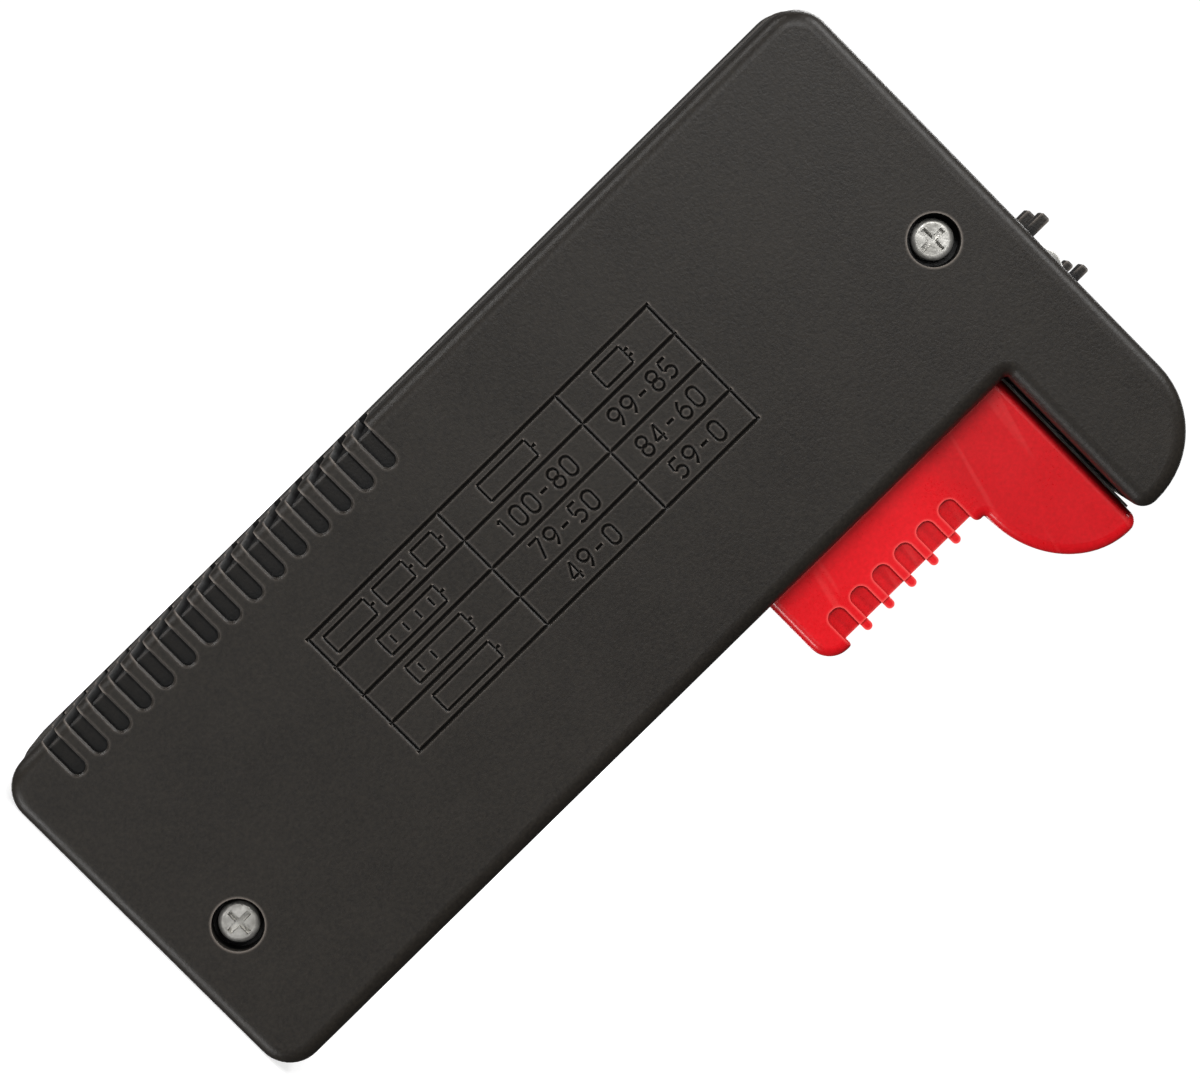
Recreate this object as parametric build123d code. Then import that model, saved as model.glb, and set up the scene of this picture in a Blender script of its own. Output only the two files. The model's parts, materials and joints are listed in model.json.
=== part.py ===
from build123d import *
import math
import os

# Pocket battery tester, standing on its flat bottom end. +Z runs up its long axis, the front with
# the meter looks along -Y and the rear along +Y. The hook and the slider are on the -X side.
# All sizes are in millimetres.

# Driving dimensions: case
case_length = 110.0
case_width = 41.0
case_depth = 25.0
wall = 1.8
corner_radius = 3.7
edge_radius = 1.6
rear_reveal = 0.2  # the rear shell is this much narrower on the grip side
seam_chamfer = 0.2

# Driving dimensions: fixed hook
hook_reach = 19.1
hook_radius = 9.3
hook_tip_radius = 1.75
hook_thickness = 11.25

# Driving dimensions: slider
slider_reach = 20.1
slider_thickness = 15.0
slider_length = 32.0
slider_travel = 62.0
closed_gap = 0.25
spring_from_keeper = 3.0
shank_width = 7.5
rib_reach = 1.0
rib_height = 1.0
rib_pitch = 3.046
groove_count = 6
groove_height = 2.1
groove_length = 2.95
groove_depth = 0.45
head_height = 10.5
head_round = 1.3
shoulder = 1.1
foot_height = 3.2
foot_round = 2.6
slider_edge = 1.1
neck_thickness = 4.0
neck_height = 18.0
side_gap = 0.4
running_gap = 0.2

# Driving dimensions: details of the shells
screw_z_low = 7.4
screw_drop = 7.2
screw_from_grip = 26.5
well_radius = 2.65
well_depth = 3.3
grip_slot_count = 15
grip_slot_pitch = 3.054
grip_slot_height = 1.65
grip_slot_first_z = 7.35
grip_slot_length = 4.15
grip_slot_depth = 0.8
grip_side_depth = 0.85
grip_slot_rim = 0.22
table_x = [11.4, 15.25, 19.1, 22.95, 26.8]  # engraved lines, measured from the grip side
table_z = [32.2, 49.8, 66.0, 78.5]
line_width = 0.5
line_depth = 0.24
stroke_width = 0.4
stroke_depth = 0.2
digit_height = 2.1
digit_width = 1.15
digit_pitch = 1.72
digit_flag = 0.35  # the flag of the 1 and the foot of the 7
four_stem = 0.3
four_bar = 0.6
five_side = 0.95
digit_corner = 0.1
tail_reach = 1.35  # how far the bent tail of the 6 and the 9 leans past its ring
tail_angle = 48
ring_overlap = 0.04
cell_margin = 0.85
terminal_length = 0.55
sign_gap = 0.7
charge_bars = 4
bar_inset = 0.55
level_sign_length = 7.6

# Driving dimensions: 9 V socket
snap_pitch = 12.7
socket_from_jaw = 4.9
post_gap = 5.3
post_width_inner = 1.1
post_width_outer = 0.9
post_height_inner = 2.5
post_height_outer = 1.8
post_length = 3.0
dome_radius = 2.0
dome_height = 0.7

# Driving dimensions: meter
window_width = 30.0
window_height = 21.0
window_z = 78.0
pane_thickness = 1.2
pivot_z = 60.0
swing_half_angle = 40.0
pointer_length = 21.0
magnet_radius = 4.4
magnet_length = 8.0
coil_inner_radius = 4.8
coil_outer_radius = 6.1
coil_width = 3.0
yoke_inner_radius = 6.5
yoke_outer_radius = 9.0
frame_radius = 11.5
staff_radius = 0.5
dial_thickness = 0.4

# Driving dimensions: wiring
wire_radius = 0.55
board_thickness = 1.2
strip_thickness = 0.3

# Places that follow from the sizes above
x_grip = (case_width + slider_reach) / 2
x_jaw = x_grip - case_width
x_hook = x_jaw - hook_reach
x_tip = x_jaw - slider_reach
x_mid = x_grip - case_width / 2
x_inner_jaw = x_jaw + wall
y_front = -case_depth / 2
y_rear = case_depth / 2
y_front_inner = y_front + wall
y_rear_inner = y_rear - wall
jaw_z = case_length - hook_thickness
screw_x = x_grip - screw_from_grip
screw_z_high = case_length - screw_drop
x_socket = x_jaw + socket_from_jaw

slider_top = jaw_z - closed_gap - strip_thickness
slider_bottom = slider_top - slider_length
slider_inner = x_jaw - side_gap
shank_edge = slider_inner - shank_width
rib_edge = shank_edge - rib_reach
head_bottom = slider_top - head_height
neck_low = slider_bottom + 5.8
neck_high = neck_low + neck_height
slot_low = neck_low - slider_travel - 0.5
slot_high = neck_high + strip_thickness + 0.5
slot_half = neck_thickness / 2 + running_gap
keeper_outer = x_inner_jaw + running_gap
keeper_thickness = 1.8
keeper_inner = keeper_outer + keeper_thickness
keeper_half = 4.5
keeper_low = neck_low - 1.0
keeper_high = neck_high + 1.0
keeper_screw_z = [neck_low + 4.2, neck_high - 3.0]
keeper_screw_radius = 0.8

peg_z = jaw_z - 1.75
peg_radius = 1.0
spring_x = keeper_inner + spring_from_keeper
spring_radius = 1.42
spring_wire = 0.35
spring_turns = 26
lug_height = 2.4
eye_z = keeper_low + lug_height - 0.9
loop_inner_radius = spring_radius - spring_wire / 2
spring_bottom = eye_z + 2 * spring_radius + spring_wire
spring_top = peg_z + peg_radius + 0.02 - loop_inner_radius - spring_radius - spring_wire

screw_shank_radius = 1.2
head_radius = 2.1
head_height_case_screw = 1.5
head_edge = 0.5
head_cross = 2.8
head_cross_depth = 0.9
well_floor = y_rear - well_depth

window_low = window_z - window_height / 2
window_high = window_z + window_height / 2
dial_back = y_front + 5.5
dial_front = dial_back - dial_thickness
dial_half = window_width / 2 + 3.0
dial_post_x = window_width / 2 + 1.6
pointer_back = dial_front - 0.5
pointer_thickness = 0.4
pointer_front = pointer_back - pointer_thickness
front_bridge_back = pointer_front - 0.9
bridge_thickness = 1.0
half_magnet = magnet_length / 2
coil_end = half_magnet + 1.3
coil_wall = 1.0
rear_bridge_front = coil_end + 2.1
ear_z = pivot_z - frame_radius + 1.0
ear_x = frame_radius - 3.5
small_screw_radius = 0.7

board_width = 18.0
board_height = 26.0
board_x = x_grip - 12.6
board_z = 28.0
board_front = 3.0
board_back = board_front + board_thickness
board_post_x = 6.5
board_post_z = 10.5

label_width = 33.0
label_height = 36.0
label_z = 28.0
label_depth = 0.3

rail_y = 6.9
rail_half = 1.5
rail_thickness = 0.4


def slab(sketch, y_low, y_high):
    """Extrude a sketch drawn in (X, Z) between two depths."""
    plane = Plane(origin=(0, y_high, 0), x_dir=(1, 0, 0), z_dir=(0, -1, 0))
    return extrude(plane * sketch, y_high - y_low)


def block(x0, x1, y0, y1, z0, z1):
    return Pos((x0 + x1) / 2, (y0 + y1) / 2, (z0 + z1) / 2) * Box(x1 - x0, y1 - y0, z1 - z0)


def rod_y(x, z, radius, y_low, y_high):
    return slab(Pos(x, z) * Circle(radius), y_low, y_high)


def rod_x(y, z, radius, x_low, x_high):
    return Pos((x_low + x_high) / 2, y, z) * Rot(0, 90, 0) * Cylinder(radius, x_high - x_low)


def rod_z(x, y, radius, z_low, z_high):
    return Pos(x, y, (z_low + z_high) / 2) * Cylinder(radius, z_high - z_low)


def case_outline(inset, grip_inset=0.0):
    """The L-shaped outline of the shells, moved inwards by inset."""
    convex = max(corner_radius - inset, 0.4)
    tip = max(hook_tip_radius - inset, 0.3)
    hook = min(hook_radius - inset, hook_thickness - 2 * inset - tip - 0.05)
    points = [
        (x_grip - inset - grip_inset, inset),
        (x_grip - inset - grip_inset, case_length - inset),
        (x_hook + inset, case_length - inset),
        (x_hook + inset, jaw_z + inset),
        (x_jaw + inset, jaw_z + inset),
        (x_jaw + inset, inset),
    ]
    radii = [convex, convex, hook, tip, 0.4 + inset, convex]
    return make_face(FilletPolyline(*points, radius=radii, close=True))


def outer_edges(solid, y):
    """The edges of the face at depth y."""
    return solid.edges().filter_by_position(Axis.Y, y - 0.01, y + 0.01)


def shell(y_outer, y_inner, grip_inset):
    """One half of the case: rounded outside, hollow inside, open at the seam."""
    low, high = min(y_outer, 0), max(y_outer, 0)
    solid = slab(case_outline(0, grip_inset), low, high)
    solid = fillet(outer_edges(solid, y_outer), edge_radius)
    solid = chamfer(outer_edges(solid, 0), seam_chamfer)
    return solid - slab(case_outline(wall), min(y_inner, 0), max(y_inner, 0))


def slider_slot():
    return block(x_jaw - 1, x_inner_jaw + 1, -slot_half, slot_half, slot_low, slot_high)


def jaw_contact_plate():
    return block(x_hook + 1.6, x_jaw - 2.0, -4, 4, jaw_z, jaw_z + 0.4)


def jaw_contact():
    tab = block(x_jaw - 2.4, x_jaw - 2.0, -1.5, 1.5, jaw_z, jaw_z + 6.5)
    return jaw_contact_plate() + tab


def jaw_recess():
    tab_slot = block(x_jaw - 2.4, x_jaw - 2.0, -1.5, 1.5, jaw_z - 1, jaw_z + wall + 1)
    return jaw_contact_plate() + tab_slot


def socket_posts(side):
    """Two posts that flank one 9 V contact; side is -1 at the front and +1 at the rear."""
    y = side * snap_pitch / 2
    inner_x = x_socket + post_gap / 2
    outer_x = x_socket - post_gap / 2
    base = case_length - wall / 2
    inner = block(
        inner_x,
        inner_x + post_width_inner,
        y - post_length / 2,
        y + post_length / 2,
        base,
        case_length + post_height_inner,
    )
    outer = block(
        outer_x - post_width_outer,
        outer_x,
        y - post_length / 2,
        y + post_length / 2,
        base,
        case_length + post_height_outer,
    )
    inner = fillet(inner.edges().group_by(Axis.Z)[-1], 0.3)
    outer = fillet(outer.edges().group_by(Axis.Z)[-1], 0.3)
    return inner + outer


def socket_hole(side):
    y = side * snap_pitch / 2
    return rod_z(x_socket, y, dome_radius, case_length - 2 * wall, case_length + 1)


def nine_volt_contact(side):
    """A domed pad with a flange under the end wall and a solder tab inside."""
    y = side * snap_pitch / 2
    under = case_length - wall
    pad = rod_z(x_socket, y, dome_radius, under, case_length)
    ball_radius = (dome_radius**2 + dome_height**2) / (2 * dome_height)
    ball = Pos(x_socket, y, case_length + dome_height - ball_radius) * Sphere(ball_radius)
    dome = ball & block(
        x_socket - 3, x_socket + 3, y - 3, y + 3, case_length, case_length + 2
    )
    flange = rod_z(x_socket, y, dome_radius + 0.9, under - 0.6, under)
    tab = block(x_socket - 0.25, x_socket + 0.25, y - 1.4, y + 1.4, under - 5, under - 0.6)
    return pad + dome + flange + tab


def slot_outline(z, spread):
    """A slot's outline on the rear face, made larger by spread all round."""
    inner_x = x_grip - rear_reveal - grip_slot_length
    half = grip_slot_height / 2 + spread
    open_end = Pos(inner_x + 10, z) * Rectangle(20, 2 * half)
    return open_end + Pos(inner_x, z) * Circle(half)


def grip_slot(z):
    """One slot that wraps from the rear face over the edge and down the grip side."""
    half = grip_slot_height / 2
    wall_x = x_grip - rear_reveal - grip_side_depth
    floor_y = y_rear - grip_slot_depth
    face_part = slab(slot_outline(z, 0), floor_y, y_rear + 1)
    rim_part = extrude(
        Plane(origin=(0, y_rear, 0), x_dir=(1, 0, 0), z_dir=(0, -1, 0)) * slot_outline(z, grip_slot_rim),
        grip_slot_rim,
        taper=45,
    )
    side_part = block(wall_x, x_grip + 1, y_front + 2.6, y_rear + 1, z - half, z + half)
    lip_start, lip_end = (wall_x - grip_slot_rim, floor_y), (wall_x, floor_y - grip_slot_rim)
    lip = make_face(Polyline(lip_start, lip_end, (wall_x, floor_y), close=True))
    lip_part = extrude(Plane.XY.offset(z - half) * lip, 2 * half)
    return face_part + rim_part + side_part + lip_part


def grip_slots():
    heights = [grip_slot_first_z + i * grip_slot_pitch for i in range(grip_slot_count)]
    return [grip_slot(z) for z in heights]


def v_cut(path, width, depth):
    """A V-shaped cut along a line or arc that lies on the rear face."""
    over = 0.05
    half = width / 2 * (depth + over) / depth
    section = make_face(Polyline((-depth, 0), (over, half), (over, -half), close=True))
    plane = Plane(origin=path @ 0, x_dir=(0, 1, 0), z_dir=path % 0)
    return sweep(plane * section, path=path)


def table_lines():
    """The engraved lines of a small table on the rear face."""
    near, far = x_grip - table_x[-1], x_grip - table_x[0]
    low, high = table_z[0], table_z[-1]
    half = line_width / 2
    lines = []
    for offset in table_x:
        x = x_grip - offset
        lines.append(Line((x, y_rear, low - half), (x, y_rear, high + half)))
    for z in table_z:
        lines.append(Line((near, y_rear, z), (far, y_rear, z)))
    return [v_cut(line, line_width, line_depth) for line in lines]


def glyph(name):
    """The strokes of one sign, drawn in a cell of digit_width by digit_height."""
    w, h = digit_width, digit_height
    r = w / 2
    small = h / 4
    if name == "0":
        return [
            Line((0, r), (0, h - r)),
            Line((w, r), (w, h - r)),
            CenterArc((r, h - r), r, 0, 180),
            CenterArc((r, r), r, 180, 180),
        ]
    if name == "1":
        return [Line((r, 0), (r, h)), Line((r, h), (r - digit_flag, h - digit_flag))]
    if name == "2":
        return [
            CenterArc((r, h - r), r, -35, 205),
            Line((r + r * math.cos(math.radians(-35)), h - r + r * math.sin(math.radians(-35))), (0, 0)),
            Line((0, 0), (w, 0)),
        ]
    if name == "3":
        return [
            CenterArc((r, h - small), small, -90, 240),
            CenterArc((r, small), small, -150, 240),
        ]
    if name == "4":
        return [
            Line((w - four_stem, 0), (w - four_stem, h)),
            Line((w - four_stem, h), (0, four_bar)),
            Line((0, four_bar), (w, four_bar)),
        ]
    if name == "5":
        return [
            Line((w - digit_corner, h), (1.5 * digit_corner, h)),
            Line((1.5 * digit_corner, h), (digit_corner / 2, h - five_side)),
            CenterArc((r, r + ring_overlap / 2), r, -140, 280),
        ]
    if name == "6":
        return [
            CenterArc((r, r), r, 0, 360),
            CenterArc((r + tail_reach, r), r + tail_reach, 180, -tail_angle),
        ]
    if name == "7":
        return [Line((0, h), (w, h)), Line((w, h), (digit_flag, 0))]
    if name == "8":
        upper, lower = small + ring_overlap / 2, small + ring_overlap
        return [
            CenterArc((r, h - upper), upper, 0, 360),
            CenterArc((r, lower), lower, 0, 360),
        ]
    if name == "9":
        return [
            CenterArc((r, h - r), r, 0, 360),
            CenterArc((r - tail_reach, h - r), r + tail_reach, 0, -tail_angle),
        ]
    return [Line((1.5 * digit_corner, h / 2), (w - 1.5 * digit_corner, h / 2))]


def battery_sign(length, bars, terminals):
    """A lying battery outline with a row of charge bars inside and its terminals at the end."""
    h = digit_height
    strokes = [
        Line((0, 0), (length, 0)),
        Line((length, 0), (length, h)),
        Line((length, h), (0, h)),
        Line((0, h), (0, 0)),
    ]
    for i in range(bars):
        a = (i + 0.7) * length / (charge_bars + 0.4)
        strokes.append(Line((a, bar_inset), (a, h - bar_inset)))
    step = h / (terminals + 1)
    for i in range(terminals):
        b = step * (i + 1)
        strokes.append(Line((length, b), (length + terminal_length, b)))
    return strokes, length + terminal_length


def battery_row(lengths):
    """Empty batteries of several lengths, one after the other."""
    strokes, total = [], -sign_gap
    for length in lengths:
        sign, reach = battery_sign(length, 0, 1)
        strokes += [Pos(total + sign_gap, 0) * stroke for stroke in sign]
        total += sign_gap + reach
    return strokes, total


def number_sign(text):
    """A row of digits, with its length."""
    strokes = []
    for i, character in enumerate(text):
        for stroke in glyph(character):
            strokes.append(Pos(digit_pitch * i, 0) * stroke)
    return strokes, digit_pitch * (len(text) - 1) + digit_width


def table_signs():
    """Battery signs and charge ranges in per cent, read along +Z; the rows run from the grip side."""
    rows = [
        [battery_row((5.4, 4.0, 2.8)), battery_sign(6.4, 0, 1), battery_sign(3.6, 0, 2)],
        [battery_sign(level_sign_length, charge_bars, 1), number_sign("100-80"), number_sign("99-85")],
        [battery_sign(level_sign_length, charge_bars // 2, 1), number_sign("79-50"), number_sign("84-60")],
        [battery_sign(level_sign_length, 0, 1), number_sign("49-0"), number_sign("59-0")],
    ]
    cuts = []
    for row, offset in zip(rows, table_x[1:]):
        for (strokes, length), low, high in zip(row, table_z[:-1], table_z[1:]):
            corner = (x_grip - offset + cell_margin, y_rear, (low + high - length) / 2)
            cell = Plane(origin=corner, x_dir=(0, 0, 1), z_dir=(0, 1, 0))
            for stroke in strokes:
                cuts.append(v_cut((cell * stroke).edge(), stroke_width, stroke_depth))
    return cuts


def board_posts():
    posts = []
    for sx in (-1, 1):
        x, z = board_x + sx * board_post_x, board_z - sx * board_post_z
        posts.append(rod_y(x, z, 1.8, board_back, y_rear_inner + 0.3))
        posts.append(rod_y(x, z, small_screw_radius, board_back - 1, y_rear_inner - 1))
    return posts


def rear_cover():
    solid = shell(y_rear, y_rear_inner, rear_reveal)
    for z in (screw_z_low, screw_z_high):
        solid = solid + rod_y(screw_x, z, 4.0, 0, y_rear_inner + 0.3)
    for z in (screw_z_low, screw_z_high):
        solid = solid - rod_y(screw_x, z, well_radius, well_floor, y_rear + 1)
        solid = solid - rod_y(screw_x, z, screw_shank_radius + 0.1, -1, well_floor)
    solid = solid - grip_slots() - slider_slot() - jaw_recess() - socket_hole(1)
    solid = solid - table_lines() - table_signs() + socket_posts(1)
    post_low, hole_low, post_high, hole_high = board_posts()
    return solid + post_low + post_high - hole_low - hole_high


def seam_lip():
    """A tongue on the front shell that stands inside the rear shell."""
    ring = slab(case_outline(wall) - case_outline(wall + 0.8), -1.5, 0)
    tongue = slab(case_outline(wall + 0.05) - case_outline(wall + 0.8), 0, 1.5)
    jaw_side = block(x_jaw - 30, x_inner_jaw + 6, -2, 2, 3.5, case_length + 5)
    around_screws = [
        block(screw_x - 5, screw_x + 5, -2, 2, -1, screw_z_low + 5),
        block(screw_x - 5, screw_x + 5, -2, 2, screw_z_high - 5, case_length + 1),
    ]
    return ring + tongue - jaw_side - around_screws


def window_cut():
    opening = slab(
        Pos(x_mid, window_z) * RectangleRounded(window_width, window_height, 1.5), y_front - 1, 0
    )
    seat = slab(
        Pos(x_mid, window_z) * RectangleRounded(window_width + 2, window_height + 2, 2.5),
        y_front - 1,
        y_front + pane_thickness,
    )
    return opening + seat


def front_posts():
    """Posts inside the front: the dial's pair and the meter frame's pair."""
    posts, holes = [], []
    for sx in (-1, 1):
        dial_x = x_mid + sx * dial_post_x
        posts.append(rod_y(dial_x, window_z, 1.3, y_front_inner - 0.3, dial_front))
        holes.append(rod_y(dial_x, window_z, small_screw_radius, dial_front - 2.2, dial_front))
        frame_x = x_mid + sx * ear_x
        posts.append(rod_y(frame_x, ear_z, 2.0, y_front_inner - 0.3, -half_magnet))
        holes.append(
            rod_y(frame_x, ear_z, small_screw_radius, -half_magnet - 4, -half_magnet)
        )
    return posts, holes


def front_cover():
    solid = shell(y_front, y_front_inner, 0.0)
    for z in (screw_z_low, screw_z_high):
        solid = solid + rod_y(screw_x, z, 3.2, y_front_inner - 0.3, 0)
    solid = solid + seam_lip()
    for z in (screw_z_low, screw_z_high):
        solid = solid - rod_y(screw_x, z, screw_shank_radius, y_front_inner + 1.2, 1)
    posts, holes = front_posts()
    solid = solid - window_cut()
    for post in posts:
        solid = solid + post
    solid = solid - holes - grip_slots() - slider_slot() - jaw_recess() - socket_hole(-1)
    recess = slab(
        Pos(x_mid, label_z) * RectangleRounded(label_width, label_height, 2.0),
        y_front - 1,
        y_front + label_depth,
    )
    solid = solid - recess + socket_posts(-1)
    return solid + spring_peg()


def spring_peg():
    """A peg rooted in the front shell's jaw-side wall, reaching across the seam plane."""
    root = block(x_inner_jaw - 0.3, x_inner_jaw + 0.8, -peg_radius, -0.05, peg_z - 1.2, peg_z + 1.2)
    return root + rod_x(0, peg_z, peg_radius, x_inner_jaw + 0.05, spring_x + 1.4)


def cross_recess(x, z, y_top, size, depth):
    arm = block(x - size / 2, x + size / 2, y_top - depth, y_top + 1, z - 0.28, z + 0.28)
    other = block(x - 0.28, x + 0.28, y_top - depth, y_top + 1, z - size / 2, z + size / 2)
    return arm + other


def case_screw(z):
    head = rod_y(screw_x, z, head_radius, well_floor, well_floor + head_height_case_screw)
    head = fillet(outer_edges(head, well_floor + head_height_case_screw), head_edge)
    top = well_floor + head_height_case_screw
    head = head - cross_recess(screw_x, z, top, head_cross, head_cross_depth)
    return head + rod_y(screw_x, z, screw_shank_radius, y_front_inner + 1.2, well_floor)


def case_screws():
    return Compound(children=[case_screw(screw_z_low), case_screw(screw_z_high)])


def slider_outline():
    """A round tip, a quarter ellipse under the head, a shoulder, the shank and a rounded foot."""
    tip_z = slider_top - head_round
    span = rib_edge - 0.6 - x_tip
    tip_arc = CenterArc((x_tip + head_round, tip_z), head_round, 90, 90)
    under = EllipticalCenterArc((x_tip + span, tip_z), span, tip_z - head_bottom, 180, arc_size=90)
    rest = FilletPolyline(
        (x_tip + span, head_bottom),
        (rib_edge, head_bottom),
        (rib_edge, head_bottom - shoulder),
        (shank_edge, head_bottom - shoulder),
        (shank_edge, slider_bottom + foot_height),
        (rib_edge, slider_bottom + foot_height),
        (rib_edge, slider_bottom),
        (slider_inner, slider_bottom),
        (slider_inner, slider_top),
        (x_tip + head_round, slider_top),
        radius=[0.25, 0.8, 0.12, 0.12, 0.45, foot_round, 0.3, 0.3],
    )
    return make_face([tip_arc, under, rest])


def slider_body():
    """The slider's bulk without grooves: both faces rounded over along the top, tip, underside and foot."""
    half = slider_thickness / 2
    tip_z = slider_top - head_round
    span = rib_edge - 0.6 - x_tip
    tip_arc = CenterArc((x_tip + head_round, tip_z), head_round, 90, 90)
    under = EllipticalCenterArc((x_tip + span, tip_z), span, tip_z - head_bottom, 180, arc_size=90)
    rest = FilletPolyline(
        (x_tip + span, head_bottom),
        (rib_edge, head_bottom),
        (rib_edge, slider_bottom),
        (slider_inner, slider_bottom),
        (slider_inner, slider_top),
        (x_tip + head_round, slider_top),
        radius=[0.25, foot_round, 0, 0],
    )
    bulk = slab(make_face([tip_arc, under, rest]), -half, half)
    rims = outer_edges(bulk, half) + outer_edges(bulk, -half)
    rims = [edge for edge in rims if edge.center().X < slider_inner - 0.01]
    return fillet(rims, slider_edge) & slab(slider_outline(), -half, half)


def groove_centres():
    first = head_bottom - shoulder - groove_height / 2
    return [first - i * rib_pitch for i in range(groove_count)]


def slider_groove(z, side):
    """A finger groove in the slider's face, with a round inner end and open at the rib side."""
    face_y = side * slider_thickness / 2
    floor_y = face_y - side * groove_depth
    low, high = min(floor_y, face_y + side), max(floor_y, face_y + side)
    corner = groove_height / 2 - 0.15
    x_end = shank_edge + groove_length
    outline = FilletPolyline(
        (x_end, z - groove_height / 2),
        (x_end, z + groove_height / 2),
        (rib_edge - 1, z + groove_height / 2),
        (rib_edge - 1, z - groove_height / 2),
        radius=[corner, corner, 0, 0],
        close=True,
    )
    return slab(make_face(outline), low, high)


def slider_rib(z):
    """A rib whose rounded tip stands out of the shank between two grooves."""
    outline = Pos((rib_edge + shank_edge) / 2 + 0.5, z) * SlotOverall(
        rib_reach + 1.0 + rib_height * 0.2, rib_height - 0.05
    )
    return slab(outline, -slider_thickness / 2 + 0.4, slider_thickness / 2 - 0.4)


def slider():
    solid = slider_body()
    centres = groove_centres()
    for z in centres:
        solid = solid - slider_groove(z, 1) - slider_groove(z, -1)
    for upper, lower in zip(centres[:-1], centres[1:]):
        solid = solid + slider_rib((upper + lower) / 2)
    neck = block(
        slider_inner - 0.5, keeper_outer, -neck_thickness / 2, neck_thickness / 2, neck_low, neck_high
    )
    solid = solid + neck - slider_strip_space()
    for z in keeper_screw_z:
        solid = solid - rod_x(0, z, keeper_screw_radius, slider_inner - 3.5, keeper_outer + 1)
    return solid


def slider_strip_space():
    """The thin recess down the slider's inner face that the contact strip lies in."""
    return block(
        slider_inner - strip_thickness, slider_inner + 0.05, -1.5, 1.5, neck_high, slider_top + 1
    )


def slider_contact():
    """A strip on the slider's top that runs down its inner face and in over the neck."""
    top = block(
        x_tip + 1.6, slider_inner, -4.5, 4.5, slider_top, slider_top + strip_thickness
    )
    down = block(
        slider_inner - strip_thickness, slider_inner, -1.5, 1.5, neck_high, slider_top
    )
    inwards = block(
        slider_inner - strip_thickness, keeper_outer, -1.5, 1.5, neck_high, neck_high + strip_thickness
    )
    return top + down + inwards


def slider_keeper():
    plate = block(keeper_outer, keeper_inner, -keeper_half, keeper_half, keeper_low, keeper_high)
    plate = fillet(plate.edges().filter_by(Axis.X), 0.8)
    lug = block(
        keeper_inner - 0.3, spring_x + 1.2, -0.8, 0.8, keeper_low, keeper_low + lug_height
    )
    eye = rod_y(spring_x, eye_z, 0.45, -2, 2)
    solid = plate + lug - eye
    for z in keeper_screw_z:
        solid = solid - rod_x(0, z, keeper_screw_radius, keeper_outer - 1, keeper_inner + 1)
    return solid


def keeper_screw(z, seat):
    head = rod_x(0, z, 1.6, seat, seat + 0.9)
    slot = block(seat + 0.5, seat + 1.5, -2, 2, z - 0.2, z + 0.2)
    return head - slot + rod_x(0, z, keeper_screw_radius, slider_inner - 3.5, seat)


def keeper_screws():
    low, high = keeper_screw_z
    return Compound(
        children=[keeper_screw(low, keeper_inner), keeper_screw(high, keeper_inner + strip_thickness)]
    )


def slider_wiper():
    """A bronze leaf under the upper keeper screw, with a foot that rubs on the rail."""
    z = keeper_screw_z[1]
    base = block(keeper_inner, keeper_inner + strip_thickness, -3, rail_y - 1.3, z - 1.8, z + 1.8)
    foot_x = x_inner_jaw + rail_thickness + 0.1
    leg = block(foot_x, keeper_inner + strip_thickness, rail_y - 1.6, rail_y - 1.3, z - 1.8, z + 1.8)
    foot = block(foot_x, foot_x + strip_thickness, rail_y - 1.6, rail_y + 1.2, z - 1.8, z + 1.8)
    return base + leg + foot - rod_x(0, z, keeper_screw_radius, keeper_inner - 1, keeper_inner + 1)


def contact_rail():
    rail = block(
        x_inner_jaw,
        x_inner_jaw + rail_thickness,
        rail_y - rail_half,
        rail_y + rail_half,
        slot_low + 2,
        jaw_z - 3,
    )
    return fillet(rail.edges().filter_by(Axis.X), 0.5)


def spring_loop(z):
    """An end loop of the spring, standing across the coil."""
    return Pos(spring_x, 0, z) * Rot(0, 90, 0) * Torus(spring_radius, spring_wire / 2)


def slider_spring():
    """A close-wound extension spring with a loop at each end."""
    height = spring_top - spring_bottom
    path = Helix(pitch=height / spring_turns, height=height, radius=spring_radius)
    start = Plane(origin=path @ 0, z_dir=path % 0)
    coil = Pos(spring_x, 0, spring_bottom) * sweep(
        start * Circle(spring_wire / 2), path=path, is_frenet=True
    )
    upper = spring_loop(spring_top + spring_radius + spring_wire)
    lower = spring_loop(spring_bottom - spring_radius - spring_wire)
    return Compound(children=[coil, upper, lower])


def meter_window():
    pane = slab(
        Pos(x_mid, window_z) * RectangleRounded(window_width + 1.9, window_height + 1.9, 2.45),
        y_front + 0.05,
        y_front + pane_thickness,
    )
    return chamfer(outer_edges(pane, y_front + 0.05), 0.2)


def front_label():
    return slab(
        Pos(x_mid, label_z) * RectangleRounded(label_width - 0.4, label_height - 0.4, 1.8),
        y_front + label_depth - 0.2,
        y_front + label_depth,
    )


def dial_plate():
    low = window_low - 2.0
    plate = block(
        x_mid - dial_half, x_mid + dial_half, dial_front, dial_back, low, window_high + 2.0
    )
    for sx in (-1, 1):
        plate = plate - rod_y(
            x_mid + sx * dial_post_x, window_z, small_screw_radius, dial_front - 1, dial_back + 1
        )
    return fillet(plate.edges().filter_by(Axis.Y), 0.3)


def small_screw(x, z, seat, length):
    """A slotted screw whose head faces the rear."""
    head = rod_y(x, z, 1.2, seat, seat + 0.8)
    slot = block(x - 2, x + 2, seat + 0.4, seat + 1.4, z - 0.18, z + 0.18)
    return head - slot + rod_y(x, z, small_screw_radius, seat - length, seat)


def dial_screws():
    screws = [small_screw(x_mid + sx * dial_post_x, window_z, dial_back, 2.4) for sx in (-1, 1)]
    return Compound(children=screws)


def meter_screws():
    seat = -half_magnet + 2.0
    screws = [small_screw(x_mid + sx * ear_x, ear_z, seat, 5.8) for sx in (-1, 1)]
    return Compound(children=screws)


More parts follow.
